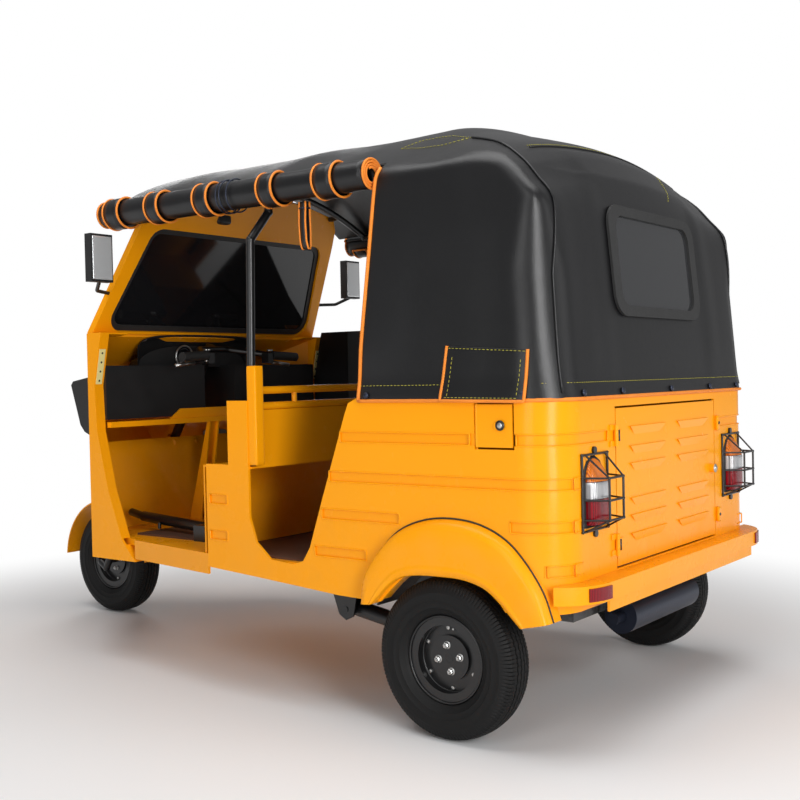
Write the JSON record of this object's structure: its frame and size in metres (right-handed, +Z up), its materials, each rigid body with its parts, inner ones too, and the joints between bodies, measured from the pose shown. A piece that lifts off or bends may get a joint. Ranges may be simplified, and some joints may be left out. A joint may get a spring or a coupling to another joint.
{
  "type": "auto rickshaw",
  "caption": "Passenger auto rickshaw: soft hood over a pressed-steel body with open sides, a windshield over the front cowl, handlebar steering, and an engine lid and fuel lid that swing.",
  "frame": {"origin": "on the ground, below the middle of the overall length, on the centre plane", "axes": "+X towards the vehicle's left side, +Y towards its rear, +Z up"},
  "size_m": [1.326, 2.6395, 1.655],
  "materials": {
    "body_paint": "gloss orange-yellow",
    "frame_paint": "satin black",
    "hood_vinyl": "coated black cloth with a fine grain",
    "seat_vinyl": "matt black vinyl",
    "tyre_rubber": "matt",
    "rim_paint": "black enamel",
    "seal_rubber": "matt",
    "mat_rubber": "matt brown",
    "black_plastic": "grained",
    "window_clear": "polished",
    "lamp_clear": "fluted",
    "lamp_red": "clear red moulding",
    "engine_alloy": "as cast",
    "zinc": "bright zinc",
    "sheet_grey": "satin grey"
  },
  "bodies": {
    "body": {"arm_brackets": "frame_paint", "canopy": "hood_vinyl", "chassis_frame": "frame_paint", "curtain_rolls": "hood_vinyl", "dash_rail": "body_paint", "dashboard": "black_plastic", "door_sills": "frame_paint", "driver_seat": "seat_vinyl", "driver_seat_base": "frame_paint", "driveshafts": "zinc", "engine_block": "engine_alloy", "fenders": "body_paint", "floor_controls": "frame_paint", "floor_mats": "mat_rubber", "floor_pan": "body_paint", "front_cowl": "body_paint", "front_pillars": "body_paint", "headlamp_housing": "black_plastic", "headlamp_lens": "lamp_clear", "lamp_guards": "frame_paint", "lid_hinges": "body_paint", "mirrors": "black_plastic", "muffler": "zinc", "partition": "body_paint", "partition_rails": "body_paint", "passenger_seat": "seat_vinyl", "rear_body_panel": "body_paint", "rear_bumper": "body_paint", "rear_window_gasket": "seal_rubber", "rear_window_glass": "window_clear", "reflectors": "lamp_red", "right_door": "hood_vinyl", "roof_frame": "frame_paint", "seat_base": "body_paint", "shock_absorbers": "frame_paint", "side_body_left": "body_paint", "side_body_right": "body_paint", "tail_lamps": "lamp_red", "toe_board": "body_paint", "trailing_arms": "frame_paint", "wheel_wells": "black_plastic", "windshield_frame": "body_paint", "windshield_gasket": "seal_rubber", "windshield_glass": "window_clear"},
    "rear_wheel_left": {"rear_rim_left": "rim_paint", "rear_tyre_left": "tyre_rubber"},
    "rear_wheel_right": {"rear_rim_right": "rim_paint", "rear_tyre_right": "tyre_rubber"},
    "front_wheel": {"front_rim": "rim_paint", "front_tyre": "tyre_rubber"},
    "steering": {"steering_fork": "frame_paint", "front_mudguard": "body_paint", "handlebar": "frame_paint", "handlebar_grips": "seal_rubber"},
    "engine_lid": {"engine_hatch": "body_paint"},
    "fuel_lid": {"fuel_door": "body_paint"}
  },
  "joints": [
    {"name": "rear_wheel_left_spin", "type": "hinge", "parent": "body", "child": "rear_wheel_left", "pos_m": [0.574, 0.92, 0.2035], "axis": [1, 0, 0], "continuous": true},
    {"name": "rear_wheel_right_spin", "type": "hinge", "parent": "body", "child": "rear_wheel_right", "pos_m": [-0.574, 0.92, 0.2035], "axis": [1, 0, 0], "continuous": true},
    {"name": "steering_turn", "type": "hinge", "parent": "body", "child": "steering", "pos_m": [0, -1.05117, 0.18548], "axis": [0, 0.5299, 0.848], "range_deg": [-25, 25]},
    {"name": "front_wheel_spin", "type": "hinge", "parent": "steering", "child": "front_wheel", "pos_m": [0, -1.08, 0.2035], "axis": [1, 0, 0], "continuous": true},
    {"name": "engine_lid_swing", "type": "hinge", "parent": "body", "child": "engine_lid", "pos_m": [0.336, 1.262, 0.621], "axis": [0, 0, -1], "range_deg": [0, 100]},
    {"name": "fuel_lid_swing", "type": "hinge", "parent": "body", "child": "fuel_lid", "pos_m": [0.616, 1.032, 0.7875], "axis": [0, 0, -1], "range_deg": [0, 95]}
  ]
}
